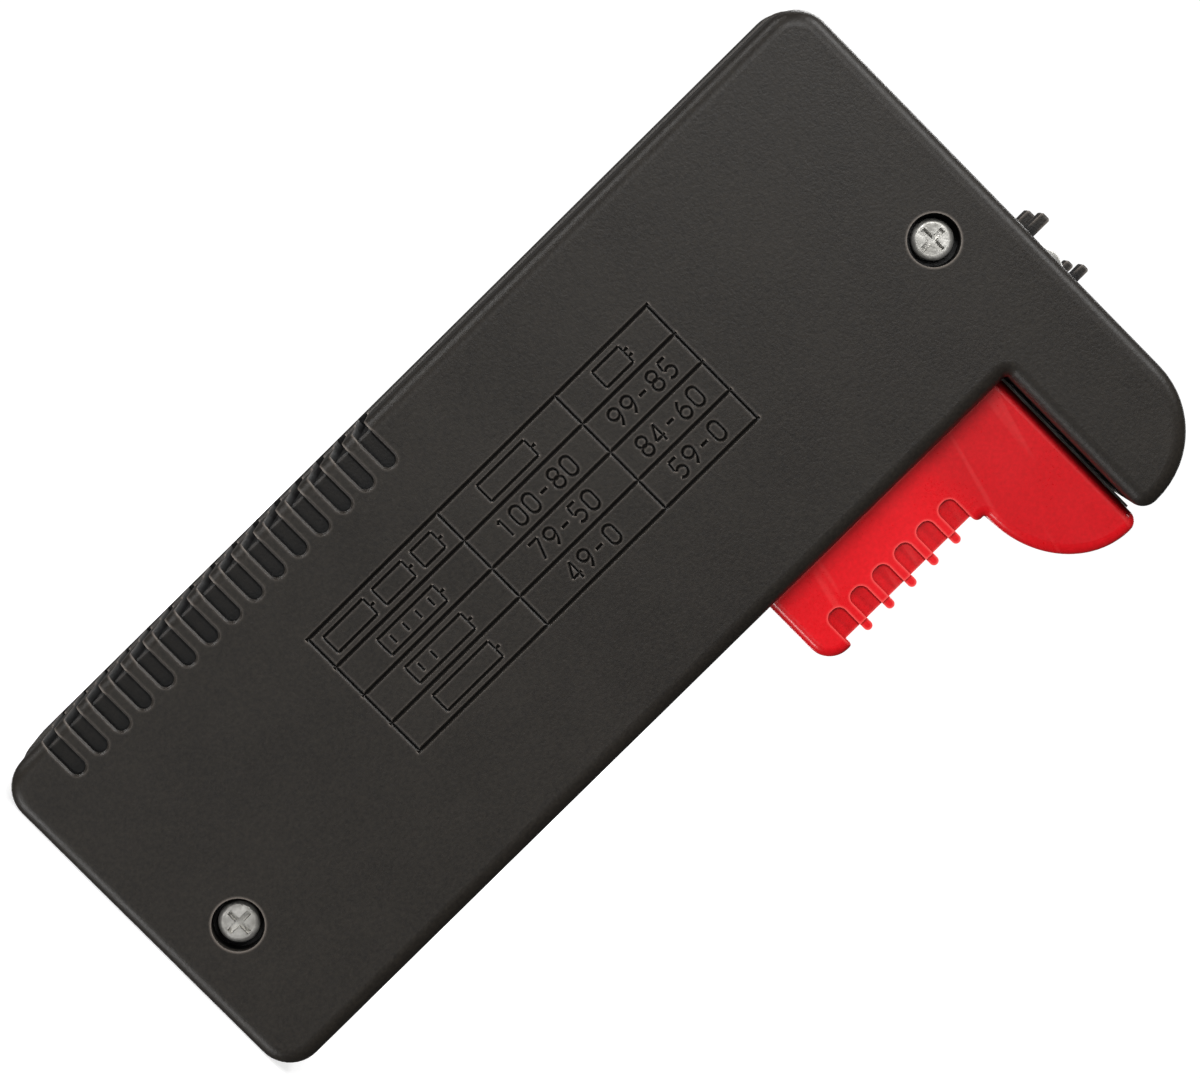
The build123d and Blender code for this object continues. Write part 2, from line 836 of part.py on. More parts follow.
def meter_frame():
    """A moulded ring round the yoke, with ears below and two columns that carry the bridges."""
    centre = Pos(x_mid, pivot_z)
    ring = slab(centre * (Circle(frame_radius) - Circle(yoke_outer_radius)), -half_magnet, half_magnet)
    solid = ring
    for sx in (-1, 1):
        column = block(
            x_mid + sx * (frame_radius - 1.1) - 1.0,
            x_mid + sx * (frame_radius - 1.1) + 1.0,
            front_bridge_back,
            rear_bridge_front,
            pivot_z - 2.0,
            pivot_z + 2.0,
        )
        solid = solid + column
    ears = block(
        x_mid - frame_radius,
        x_mid + frame_radius,
        -half_magnet,
        -half_magnet + 2.0,
        ear_z - 2.2,
        ear_z + 2.2,
    )
    solid = solid + ears - rod_y(x_mid, pivot_z, yoke_outer_radius, -half_magnet - 1, half_magnet + 1)
    for sx in (-1, 1):
        hole = rod_y(x_mid + sx * ear_x, ear_z, small_screw_radius, -half_magnet - 1, half_magnet)
        solid = solid - hole
    return solid


def meter_yoke():
    ring = Pos(x_mid, pivot_z) * (Circle(yoke_outer_radius) - Circle(yoke_inner_radius))
    return slab(ring, -half_magnet, half_magnet)


def magnet_core():
    return rod_y(x_mid, pivot_z, magnet_radius, -half_magnet, half_magnet)


def core_support(sign):
    """A brass web between core and yoke, where the coil never passes."""
    gap = Pos(x_mid, pivot_z) * (Circle(yoke_inner_radius) - Circle(magnet_radius))
    band = Pos(x_mid, pivot_z + sign * yoke_inner_radius / 2) * Rectangle(2.4, yoke_inner_radius)
    return slab(gap & band, -half_magnet, half_magnet)


def core_supports():
    return Compound(children=[core_support(1), core_support(-1)])


def bridge(y_low, jewel_y):
    """A brass bar across the columns, threaded for the jewel screw."""
    bar = block(
        x_mid - frame_radius,
        x_mid + frame_radius,
        y_low,
        y_low + bridge_thickness,
        pivot_z - 1.9,
        pivot_z + 1.9,
    )
    bar = fillet(bar.edges().filter_by(Axis.Y), 1.2)
    return bar - rod_y(x_mid, pivot_z, 1.2, y_low - 1, y_low + bridge_thickness + 1)


def front_bridge():
    return bridge(front_bridge_back - bridge_thickness, front_bridge_back)


def rear_bridge():
    return bridge(rear_bridge_front, rear_bridge_front)


def jewel_screw(y_low, y_high, cup_side):
    """A jewel screw with a cup that the staff's tip turns in."""
    screw = rod_y(x_mid, pivot_z, 1.2, y_low, y_high)
    if cup_side > 0:
        return screw - rod_y(x_mid, pivot_z, staff_radius + 0.05, y_high - 0.4, y_high + 1)
    return screw - rod_y(x_mid, pivot_z, staff_radius + 0.05, y_low - 1, y_low + 0.4)


def jewel_screws():
    front = jewel_screw(front_bridge_back - bridge_thickness, front_bridge_back + 0.2, 1)
    rear = jewel_screw(rear_bridge_front - 0.2, rear_bridge_front + bridge_thickness + 0.2, -1)
    return Compound(children=[front, rear])


def hairspring():
    """A flat spiral that returns the pointer; its outer end is held, its inner end is at the staff."""
    turns = 4
    steps = 12 * turns
    width = 0.14
    inner, outer = staff_radius + 0.12, 3.0

    def spiral(offset):
        points = []
        for i in range(steps + 1):
            angle = 2 * math.pi * turns * i / steps
            radius = inner + (outer - inner) * i / steps + offset
            points.append((radius * math.cos(angle), radius * math.sin(angle)))
        return Spline(*points)

    near, far = spiral(0), spiral(width)
    outline = make_face([near, Line(near @ 1, far @ 1), far, Line(far @ 0, near @ 0)])
    back = -coil_end - 0.4
    return slab(Pos(x_mid, pivot_z) * outline, back - 0.4, back)


def swung(solid):
    """Turn a piece of the swinging group to its rest angle, at the low end of the scale."""
    to_origin = Pos(-x_mid, 0, -pivot_z) * solid
    return Pos(x_mid, 0, pivot_z) * Rot(0, -swing_half_angle, 0) * to_origin


def moving_coil():
    """The wound rectangular coil, whose long sides run in the gap between core and yoke."""
    outer = block(
        x_mid - coil_outer_radius,
        x_mid + coil_outer_radius,
        -coil_end,
        coil_end,
        pivot_z - coil_width / 2,
        pivot_z + coil_width / 2,
    )
    outer = fillet(outer.edges().filter_by(Axis.Z), 0.6)
    inner = block(
        x_mid - coil_inner_radius,
        x_mid + coil_inner_radius,
        -coil_end + coil_wall,
        coil_end - coil_wall,
        pivot_z - coil_width,
        pivot_z + coil_width,
    )
    return swung(outer - inner)


def pivot_staff():
    front = rod_y(x_mid, pivot_z, staff_radius, front_bridge_back + 0.05, -coil_end)
    rear = rod_y(x_mid, pivot_z, staff_radius, coil_end, rear_bridge_front - 0.05)
    return Compound(children=[front, rear])


def pointer():
    """A tapered aluminium hand with a hub and a short tail."""
    hub = Circle(1.3)
    hand = make_face(
        Polyline(
            (-0.45, 0),
            (-0.2, pointer_length - 1),
            (0, pointer_length),
            (0.2, pointer_length - 1),
            (0.45, 0),
            close=True,
        )
    )
    tail = Pos(0, -2.5) * Rectangle(0.9, 5.0)
    outline = Pos(x_mid, pivot_z) * (hub + hand + tail - Circle(staff_radius))
    return swung(slab(outline, pointer_front, pointer_back))


def pointer_weight():
    """A small ring of wire on the tail that balances the hand."""
    sleeve = block(
        x_mid - 0.8, x_mid + 0.8, pointer_front - 0.35, pointer_back + 0.35, pivot_z - 4.8, pivot_z - 3.2
    )
    tail = block(x_mid - 0.45, x_mid + 0.45, pointer_front, pointer_back, pivot_z - 6, pivot_z)
    return swung(sleeve - tail)


def terminal_board():
    board = block(
        board_x - board_width / 2,
        board_x + board_width / 2,
        board_front,
        board_back,
        board_z - board_height / 2,
        board_z + board_height / 2,
    )
    for sx in (-1, 1):
        x, z = board_x + sx * board_post_x, board_z - sx * board_post_z
        board = board - rod_y(x, z, small_screw_radius, board_front - 1, board_back + 1)
    return board


def board_screw(x, z):
    """A slotted screw whose head faces the front."""
    head = rod_y(x, z, 1.2, board_front - 0.8, board_front)
    slot = block(x - 2, x + 2, board_front - 1.4, board_front - 0.4, z - 0.18, z + 0.18)
    return head - slot + rod_y(x, z, small_screw_radius, board_front, y_rear_inner - 1.5)


def board_screws():
    screws = []
    for sx in (-1, 1):
        screws.append(board_screw(board_x + sx * board_post_x, board_z - sx * board_post_z))
    return Compound(children=screws)


def resistor(z, radius, length):
    """An axial resistor on the board, with its wire legs bent back to the pads."""
    y = board_front - radius - 0.4
    leg = 0.35
    reach = length / 2 + 2.0
    body = rod_x(y, z, radius, board_x - length / 2, board_x + length / 2)
    body = fillet(body.edges(), radius * 0.3)
    route = FilletPolyline(
        (board_x + length / 2 - 0.5, y, z),
        (board_x + reach, y, z),
        (board_x + reach, board_front, z),
        radius=0.8,
    )
    section = Plane(origin=route @ 0, z_dir=route % 0) * Circle(leg)
    right = sweep(section, path=route)
    return body + right + mirror(right, Plane(origin=(board_x, 0, 0), z_dir=(1, 0, 0)))


def wire(*points):
    """An insulated hook-up wire with rounded bends."""
    path = FilletPolyline(*points, radius=wire_bends(points))
    section = Plane(origin=path @ 0, z_dir=path % 0) * Circle(wire_radius)
    return sweep(section, path=path)


def wire_bends(points):
    """Each bend is as large as its two runs allow."""
    runs = [Vector(*b) - Vector(*a) for a, b in zip(points[:-1], points[1:])]
    radii = []
    for first, second in zip(runs[:-1], runs[1:]):
        turn = math.radians(first.get_angle(second))
        shorter = min(first.length, second.length)
        radii.append(min(0.45 * shorter / math.tan(turn / 2), 12.0))
    return radii


def wires():
    """The six leads from the contacts and the meter to the terminal board."""
    lane = x_grip - 4.6
    pad_z = board_z + board_height / 2 - 3.0
    near = board_front - 2.4
    rail_tap_z = slot_low + 4.5
    rail_pad_z = board_z - 7.0
    drop = rail_pad_z - rail_tap_z
    tab_z = case_length - wall - 4.2
    tab_y = snap_pitch / 2
    jaw_tab_z = jaw_z + 5.6
    terminal_y = -half_magnet + 2.0
    terminal_z = ear_z - 1.2
    routes = {
        "jaw_lead": [
            (x_jaw - 2.0, 0, jaw_tab_z),
            (x_jaw + 3.0, 0, jaw_tab_z),
            (screw_x - 5.25, 0, jaw_tab_z - 2.85),
            (screw_x - 2.55, 0.5, jaw_tab_z - 7.85),
            (x_mid + 5.0, 1.0, jaw_z - 5.75),
            (lane, 0.5, jaw_z - 12.75),
            (lane, 0.5, pivot_z - 8),
            (board_x + 5.0, near, pad_z + 5.5),
            (board_x + 5.0, near, pad_z),
            (board_x + 5.0, board_front, pad_z),
        ],
        "rail_lead": [
            (x_inner_jaw + rail_thickness, rail_y, rail_tap_z),
            (x_inner_jaw + 4.0, rail_y, rail_tap_z),
            (board_x - 11.0, 0.5, rail_tap_z + 0.22 * drop),
            (board_x - 7.4, near, rail_tap_z + 0.58 * drop),
            (board_x - 7.4, near, rail_pad_z),
            (board_x - 7.4, board_front, rail_pad_z),
        ],
        "nine_volt_lead_positive": [
            (x_socket + 0.25, tab_y, tab_z),
            (x_socket + 3.2, tab_y, tab_z),
            (x_socket + 5.5, tab_y, tab_z - 10.0),
            (x_mid + 7.0, 6.5, tab_z - 14.0),
            (lane + 1.4, 4.5, tab_z - 22.0),
            (lane + 1.4, 4.5, pivot_z - 6),
            (board_x + 8.0, near, pad_z + 6.0),
            (board_x + 8.0, near, pad_z),
            (board_x + 8.0, board_front, pad_z),
        ],
        "nine_volt_lead_negative": [
            (x_socket + 0.25, -tab_y, tab_z),
            (x_socket + 3.2, -tab_y, tab_z),
            (x_socket + 4.8, -tab_y + 1.2, tab_z - 9.0),
            (x_mid + 4.0, -3.0, tab_z - 13.5),
            (lane - 1.6, 1.5, tab_z - 24.0),
            (lane - 1.6, 1.5, pivot_z - 9),
            (board_x + 2.0, near, pad_z + 6.0),
            (board_x + 2.0, near, pad_z),
            (board_x + 2.0, board_front, pad_z),
        ],
        "meter_lead_positive": [
            (x_mid + 4.0, terminal_y, terminal_z),
            (x_mid + 4.0, near - 0.2, terminal_z),
            (board_x - 1.0, near, pad_z),
            (board_x - 1.0, board_front, pad_z),
        ],
        "meter_lead_negative": [
            (x_mid - 4.0, terminal_y, terminal_z),
            (x_mid - 4.0, near - 0.2, terminal_z),
            (board_x - 3.4, near, pad_z),
            (board_x - 3.4, board_front, pad_z),
        ],
    }
    return {name: wire(*points) for name, points in routes.items()}


def pieces():
    named = {
        "rear_cover": rear_cover(),
        "front_cover": front_cover(),
        "case_screws": case_screws(),
        "jaw_contact": jaw_contact(),
        "nine_volt_contact_positive": nine_volt_contact(1),
        "nine_volt_contact_negative": nine_volt_contact(-1),
        "contact_rail": contact_rail(),
        "meter_window": meter_window(),
        "front_label": front_label(),
        "dial_plate": dial_plate(),
        "dial_screws": dial_screws(),
        "meter_frame": meter_frame(),
        "meter_screws": meter_screws(),
        "meter_yoke": meter_yoke(),
        "magnet_core": magnet_core(),
        "core_supports": core_supports(),
        "front_bridge": front_bridge(),
        "rear_bridge": rear_bridge(),
        "jewel_screws": jewel_screws(),
        "hairspring": hairspring(),
        "terminal_board": terminal_board(),
        "board_screws": board_screws(),
        "cell_load_resistor": resistor(board_z + 6.0, 1.6, 8.0),
        "nine_volt_load_resistor": resistor(board_z, 1.6, 8.0),
        "meter_series_resistor": resistor(board_z - 5.5, 1.15, 6.0),
        "slider": slider(),
        "slider_contact": slider_contact(),
        "slider_keeper": slider_keeper(),
        "keeper_screws": keeper_screws(),
        "slider_wiper": slider_wiper(),
        "slider_spring": slider_spring(),
        "moving_coil": moving_coil(),
        "pivot_staff": pivot_staff(),
        "pointer": pointer(),
        "pointer_weight": pointer_weight(),
    }
    named.update(wires())
    return named


os.makedirs("parts", exist_ok=True)
for node, shape in pieces().items():
    export_step(shape, f"parts/{node}.step")
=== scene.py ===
import json
import math

import bmesh
import bpy
from mathutils import Matrix, Vector


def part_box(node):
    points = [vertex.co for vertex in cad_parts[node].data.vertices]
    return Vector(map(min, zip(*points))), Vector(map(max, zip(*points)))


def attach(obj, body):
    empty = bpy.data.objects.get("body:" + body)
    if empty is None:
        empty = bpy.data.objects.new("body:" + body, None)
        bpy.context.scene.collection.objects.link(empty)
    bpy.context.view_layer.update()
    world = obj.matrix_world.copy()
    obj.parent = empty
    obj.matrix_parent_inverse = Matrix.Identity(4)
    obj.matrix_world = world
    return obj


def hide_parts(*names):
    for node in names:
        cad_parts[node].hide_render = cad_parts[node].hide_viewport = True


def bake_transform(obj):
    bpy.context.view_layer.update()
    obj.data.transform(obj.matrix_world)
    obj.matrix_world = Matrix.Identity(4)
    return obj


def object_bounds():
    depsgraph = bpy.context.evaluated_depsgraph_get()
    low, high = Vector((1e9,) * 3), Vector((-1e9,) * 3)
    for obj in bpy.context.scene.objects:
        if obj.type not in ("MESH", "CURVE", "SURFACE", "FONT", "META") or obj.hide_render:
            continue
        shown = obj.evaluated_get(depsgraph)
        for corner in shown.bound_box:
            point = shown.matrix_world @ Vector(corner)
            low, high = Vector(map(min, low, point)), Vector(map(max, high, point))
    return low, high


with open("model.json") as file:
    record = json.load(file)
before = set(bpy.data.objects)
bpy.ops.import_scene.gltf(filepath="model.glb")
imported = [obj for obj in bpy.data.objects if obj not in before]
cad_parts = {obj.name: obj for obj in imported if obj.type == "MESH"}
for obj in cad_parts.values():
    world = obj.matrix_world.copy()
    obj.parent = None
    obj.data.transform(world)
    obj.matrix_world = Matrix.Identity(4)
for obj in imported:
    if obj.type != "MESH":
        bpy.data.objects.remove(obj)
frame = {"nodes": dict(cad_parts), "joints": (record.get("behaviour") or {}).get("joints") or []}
cad_low, cad_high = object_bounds()

MM = 0.001
NODES = frame["nodes"]


def add_object(name, data):
    """A new object, linked into the scene."""
    made = bpy.data.objects.new(name, data)
    bpy.context.scene.collection.objects.link(made)
    return made


# ---------------------------------------------------------------- node helpers


class Tree:
    """A short way to build a node tree."""

    def __init__(self, tree):
        self.tree = tree
        tree.nodes.clear()

    def add(self, kind, inputs=None, **settings):
        """A new node with its settings, and its inputs linked or set."""
        node = self.tree.nodes.new(kind)
        for name, value in settings.items():
            setattr(node, name, value)
        for name, value in (inputs or {}).items():
            self.put(node, name, value)
        return node

    def put(self, node, name, value):
        """Link value if it is a socket, or set it on the input."""
        socket = node.inputs[name]
        if isinstance(value, bpy.types.NodeSocket):
            self.tree.links.new(value, socket)
        else:
            socket.default_value = value

    def place(self, scale, stretch, turn):
        """Object coordinates in millimetres, times a scale, turned about Y."""
        coordinates = self.add("ShaderNodeTexCoord").outputs["Object"]
        factor = tuple(scale * s / MM for s in stretch)
        turned = self.add("ShaderNodeMapping", {"Vector": coordinates, "Rotation": (0, turn, 0)})
        mapping = self.add("ShaderNodeMapping", {"Vector": turned.outputs["Vector"], "Scale": factor})
        return mapping.outputs["Vector"]

    def noise(self, size_mm, detail=2.0, rough=0.5, stretch=(1, 1, 1), turn=0.0):
        """Noise whose features are about size_mm across."""
        where = self.place(1.0 / size_mm, stretch, turn)
        inputs = {"Vector": where, "Scale": 1.0, "Detail": detail, "Roughness": rough}
        node = self.add("ShaderNodeTexNoise", inputs)
        return node.outputs["Fac"]

    def span(self, value, low, high, start=0.0, end=1.0):
        """Map value from low..high to start..end."""
        node = self.add("ShaderNodeMapRange", {"Value": value, "From Min": low, "From Max": high})
        self.put(node, "To Min", start)
        self.put(node, "To Max", end)
        return node.outputs["Result"]

    def math(self, operation, first, second):
        node = self.add("ShaderNodeMath", operation=operation)
        self.put(node, 0, first)
        self.put(node, 1, second)
        return node.outputs[0]

    def mix(self, factor, first, second):
        """Blend two colours. The mix node keeps its colour sockets at these numbers."""
        colour_a, colour_b, colour_result = 6, 7, 2
        node = self.add("ShaderNodeMix", data_type="RGBA")
        self.put(node, 0, factor)
        self.put(node, colour_a, first)
        self.put(node, colour_b, second)
        return node.outputs[colour_result]

    def bump(self, height, strength, distance_mm, normal=None):
        """A relief distance_mm deep, laid over an earlier one where normal is given."""
        inputs = {"Height": height, "Strength": strength, "Distance": distance_mm * MM}
        node = self.add("ShaderNodeBump", inputs)
        if normal is not None:
            self.put(node, "Normal", normal)
        return node.outputs["Normal"]

    def surface(self, **inputs):
        """The tree's one shader, with an underscore for each space in an input's name."""
        shader = self.add("ShaderNodeBsdfPrincipled")
        for name, value in inputs.items():
            self.put(shader, name.replace("_", " "), value)
        output = self.add("ShaderNodeOutputMaterial")
        self.tree.links.new(shader.outputs[0], output.inputs["Surface"])


def material(name):
    """A new material and its empty node tree."""
    made = bpy.data.materials.new(name)
    made.use_nodes = True
    return made, Tree(made.node_tree)


def rgb(red, green, blue):
    """A colour given as the eye sees it, from 0 to 255, as linear light."""

    def linear(value):
        share = value / 255
        return share / 12.92 if share <= 0.04045 else ((share + 0.055) / 1.055) ** 2.4

    return (linear(red), linear(green), linear(blue), 1.0)


# ---------------------------------------------------------------- materials

EDGE_HIGHLIGHT_REACH = 0.3 * MM
HOLLOW_SHADE_REACH = 1.8 * MM
SHADE_SAMPLES = 8
FLOW_TILT = math.radians(14)


def rubbed_edges(t, base, edge):
    """Painted highlight: lighten the outer edges, which see their own body close behind them."""
    reach = {"Distance": EDGE_HIGHLIGHT_REACH}
    inner = t.add("ShaderNodeAmbientOcclusion", reach, inside=True, samples=SHADE_SAMPLES, only_local=True)
    return t.mix(t.span(inner.outputs["AO"], low=0.95, high=0.55), base, edge)


def dark_hollows(t, base, hollow_shade, hollow):
    """Painted shade: darken the grooves. Where less light than hollow gets in, the colour is the painted
    shade colour.
    """
    outer = t.add("ShaderNodeAmbientOcclusion", {"Distance": HOLLOW_SHADE_REACH}, samples=SHADE_SAMPLES)
    return t.mix(t.span(outer.outputs["AO"], low=hollow, high=0.92), hollow_shade, base)


def moulded_plastic(
    name, colour, dark, hollow_shade, edge, rough, grain_mm, grain_depth, hollow=0.5, specular=0.5, flow=0.0
):
    """Moulded plastic with fine spark-eroded grain, painted shade in its hollows and a painted highlight on
    its outer edges. The edge colour also lightens the flow streaks.
    """
    made, t = material(name)
    broad = t.noise(size_mm=9.0, detail=3.0, rough=0.55)
    fine = t.noise(size_mm=0.4, detail=3.0, rough=0.65)
    speckle = t.math("ADD", t.math("MULTIPLY", broad, 0.22), t.math("MULTIPLY", fine, 0.78))
    base = t.mix(t.span(speckle, low=0.34, high=0.66), dark, colour)
    if flow:
        streak = t.noise(size_mm=2.2, detail=1.0, rough=0.4, stretch=(0.12, 1, 1.6), turn=FLOW_TILT)
        base = t.mix(t.math("MULTIPLY", t.span(streak, low=0.65, high=0.7), flow), base, edge)
    # Painted highlight on the outer edges.
    base = rubbed_edges(t, base, edge)
    # Painted shade in the hollows.
    base = dark_hollows(t, base, hollow_shade, hollow)
    grain = t.noise(grain_mm, detail=3.0, rough=0.65)
    wave = t.noise(size_mm=5.0, detail=2.0, rough=0.5)
    normal = t.bump(wave, strength=0.15, distance_mm=0.05)
    normal = t.bump(grain, strength=0.55, distance_mm=grain_depth, normal=normal)
    unevenness = t.math("ADD", grain, broad)
    roughness = t.span(unevenness, low=0.6, high=1.4, start=rough - 0.06, end=rough + 0.06)
    t.surface(Base_Color=base, Roughness=roughness, Normal=normal, Specular_IOR_Level=specular)
    return made


def metal(name, colour, dark, rough, grain_mm=0.25, grain_depth=0.01, stretch=(1, 1, 1), metallic=1.0):
    """Metal with fine drawn or plated grain and slight tarnish."""
    made, t = material(name)
    stain = t.noise(size_mm=1.6, detail=3.0, rough=0.6)
    grain = t.noise(grain_mm, detail=3.0, rough=0.6, stretch=stretch)
    base = t.mix(t.span(stain, low=0.35, high=0.7), dark, colour)
    roughness = t.span(grain, low=0.3, high=0.7, start=rough - 0.08, end=rough + 0.1)
    normal = t.bump(grain, strength=0.4, distance_mm=grain_depth)
    t.surface(Base_Color=base, Metallic=metallic, Roughness=roughness, Normal=normal)
    return made


def paint(name, colour, dark, rough, grain_mm=0.3, grain_depth=0.004):
    """Printed ink, lacquer or card with slight unevenness."""
    made, t = material(name)
    spots = t.noise(size_mm=1.5, detail=3.0, rough=0.6)
    grain = t.noise(grain_mm, detail=2.0, rough=0.5)
    base = t.mix(t.span(spots, low=0.3, high=0.75), dark, colour)
    roughness = t.span(grain, low=0.3, high=0.7, start=rough - 0.05, end=rough + 0.05)
    normal = t.bump(grain, strength=0.3, distance_mm=grain_depth)
    t.surface(Base_Color=base, Roughness=roughness, Normal=normal)
    return made


def pane_plastic():
    """Clear polystyrene with faint hairline scratches."""
    made, t = material("clear_pane")
    haze = t.noise(size_mm=6.0, detail=3.0, rough=0.5)
    scratch = t.noise(size_mm=0.35, detail=2.0, rough=0.5, stretch=(1, 1, 0.04))
    roughness = t.span(haze, low=0.3, high=0.7, start=0.02, end=0.05)
    normal = t.bump(scratch, strength=0.06, distance_mm=0.01)
    t.surface(
        Base_Color=rgb(250, 252, 252),
        Roughness=roughness,
        Normal=normal,
        IOR=1.49,
        Transmission_Weight=1.0,
    )
    return made


# Own tone, its random darker tone, the painted shade colour for hollows, and the painted highlight colour for
# outer edges.
case_plastic = moulded_plastic(
    "case_plastic",
    rgb(41, 37, 32),
    rgb(28, 25, 22),
    rgb(2, 2, 2),
    rgb(116, 108, 101),
    rough=0.46,
    grain_mm=0.3,
    grain_depth=0.06,
    hollow=0.62,
    specular=0.3,
)
# Own red, its random darker red, the painted shade colour for hollows, and a light red for the painted edge
# highlight and the flow streaks.
slider_plastic = moulded_plastic(
    "slider_plastic",
    rgb(234, 18, 30),
    rgb(218, 12, 22),
    rgb(150, 0, 8),
    rgb(246, 84, 82),
    rough=0.3,
    grain_mm=0.3,
    grain_depth=0.006,
    hollow=0.2,
    flow=0.2,
)
# Own tone, its random darker tone, the painted shade colour for hollows, and the painted highlight colour for
# outer edges.
inner_plastic = moulded_plastic(
    "inner_plastic",
    rgb(176, 172, 160),
    rgb(150, 146, 134),
    rgb(90, 86, 76),
    rgb(196, 192, 182),
    rough=0.5,
    grain_mm=0.3,
    grain_depth=0.01,
)
board_laminate = paint("board", rgb(152, 118, 66), rgb(128, 96, 50), 0.55)
zinc = metal(
    "zinc_screw",
    rgb(232, 230, 224),
    rgb(172, 170, 164),
    rough=0.4,
    grain_mm=0.5,
    grain_depth=0.08,
    metallic=0.65,
)
nickel = metal(
    "contact_metal",
    rgb(226, 224, 218),
    rgb(196, 194, 188),
    rough=0.36,
    grain_mm=0.25,
    grain_depth=0.004,
    stretch=(0.15, 1, 1),
    metallic=0.75,
)
brass = metal("brass", rgb(208, 172, 96), rgb(164, 128, 62), 0.3)
bronze = metal("bronze", rgb(190, 128, 82), rgb(146, 92, 56), 0.34)
soft_iron = metal("soft_iron", rgb(150, 148, 146), rgb(104, 102, 100), 0.42)
magnet = metal("magnet", rgb(96, 96, 98), rgb(60, 60, 62), 0.38)
copper = metal(
    "copper_wire",
    rgb(196, 104, 62),
    rgb(150, 66, 36),
    rough=0.3,
    grain_mm=0.12,
    grain_depth=0.02,
    stretch=(1, 1, 6),
)
black_enamel = paint("pointer_metal", rgb(28, 28, 29), rgb(16, 16, 17), 0.4)
staff_steel = metal("staff_steel", rgb(190, 192, 196), rgb(150, 152, 156), 0.18)
spring_steel = metal("spring_steel", rgb(170, 172, 176), rgb(120, 122, 126), 0.25)
resistor_lacquer = paint("resistor_body", rgb(196, 170, 124), rgb(176, 148, 102), 0.4)
red_pvc = paint("lead_red", rgb(190, 28, 30), rgb(160, 18, 20), 0.38)
black_pvc = paint("lead_black", rgb(34, 34, 35), rgb(22, 22, 23), 0.38)
label_paper = paint("label_sheet", rgb(228, 228, 224), rgb(214, 214, 210), 0.42)
dial_card = paint("dial_sheet", rgb(244, 244, 240), rgb(232, 232, 226), 0.5)
clear_pane = pane_plastic()

SLOT_MATERIALS = {
    "case_plastic": case_plastic,
    "slider_plastic": slider_plastic,
    "zinc_screw": zinc,
    "contact_metal": nickel,
    "brass": brass,
    "bronze": bronze,
    "clear_pane": clear_pane,
    "label_sheet": label_paper,
    "dial_sheet": dial_card,
    "inner_plastic": inner_plastic,
    "soft_iron": soft_iron,
    "magnet": magnet,
    "copper_wire": copper,
    "pointer_metal": black_enamel,
    "staff_steel": staff_steel,
    "board": board_laminate,
    "resistor_body": resistor_lacquer,
    "lead_red": red_pvc,
    "lead_black": black_pvc,
    "spring_steel": spring_steel,
}


def dress_frame():
    """Give every CAD node the finish of its material slot."""
    for node in NODES.values():
        for slot in node.material_slots:
            slot.material = SLOT_MATERIALS[slot.material.name.split(".")[0]]


dress_frame()


# ---------------------------------------------------------------- printed sheets


def ink(name, colour, dark):
    """Matt printing ink, smoother than the sheet under it."""
    return paint(name, colour, dark, rough=0.4, grain_mm=0.2, grain_depth=0.002)


ink_dark = ink("ink_dark", rgb(34, 35, 38), rgb(24, 25, 28))
ink_red = ink("ink_red", rgb(204, 34, 36), rgb(184, 26, 30))
ink_amber = ink("ink_amber", rgb(240, 178, 36), rgb(226, 160, 26))
ink_green = ink("ink_green", rgb(38, 146, 74), rgb(28, 128, 62))
INK_DEPTH = 0.03 * MM
ARC_STEP = 2.0


def printed(name, outlines, y, finish):
    """Thin print, half sunk in the sheet at depth y. Each outline is a convex closed list of (x, z)."""
    mesh = bpy.data.meshes.new(name)
    verts = []
    faces = []
    for outline in outlines:
        first = len(verts)
        count = len(outline)
        verts += [(x, y - INK_DEPTH, z) for x, z in outline]
        verts += [(x, y + INK_DEPTH, z) for x, z in outline]
        faces.append([first + i for i in range(count)])
        faces.append([first + count + i for i in reversed(range(count))])
        for i in range(count):
            j = (i + 1) % count
            faces.append([first + j, first + i, first + count + i, first + count + j])
    mesh.from_pydata(verts, [], faces)
    mesh.validate()
    shape = bmesh.new()
    shape.from_mesh(mesh)
    bmesh.ops.recalc_face_normals(shape, faces=shape.faces)
    shape.to_mesh(mesh)
    shape.free()
    mesh.materials.append(finish)
    piece = add_object(name, mesh)
    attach(piece, "case")


def bar(x0, z0, x1, z1):
    """A rectangle between two opposite corners."""
    return [(x0, z0), (x1, z0), (x1, z1), (x0, z1)]


def frame_bars(x0, z0, x1, z1, line):
    """The four sides of a rectangle's outline."""
    return [
        bar(x0, z0, x1, z0 + line),
        bar(x0, z1 - line, x1, z1),
        bar(x0, z0 + line, x0 + line, z1 - line),
        bar(x1 - line, z0 + line, x1, z1 - line),
    ]


def arc_bars(pivot, inner, outer, start, end):
    """A ring sector as short quads. Angles are degrees from straight up, growing towards +X."""
    count = max(1, round(abs(end - start) / ARC_STEP))
    bars = []
    for i in range(count):
        a, b = (math.radians(start + (end - start) * k / count) for k in (i, i + 1))
        bars.append(
            [
                (pivot.x + inner * math.sin(a), pivot.z + inner * math.cos(a)),
                (pivot.x + outer * math.sin(a), pivot.z + outer * math.cos(a)),
                (pivot.x + outer * math.sin(b), pivot.z + outer * math.cos(b)),
                (pivot.x + inner * math.sin(b), pivot.z + inner * math.cos(b)),
            ]
        )
    return bars


def numeral(name, text, place, size, turn):
    """A printed number, centred on place and read from the front."""
    curve = bpy.data.curves.new(name, "FONT")
    curve.body = text
    curve.size = size
    curve.align_x = "CENTER"
    curve.align_y = "CENTER"
    curve.extrude = INK_DEPTH
    curve.resolution_u = 4
    curve.materials.append(ink_dark)
    piece = add_object(name, curve)
    piece.location = place
    piece.rotation_euler = (math.pi / 2, turn, 0)
    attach(piece, "case")


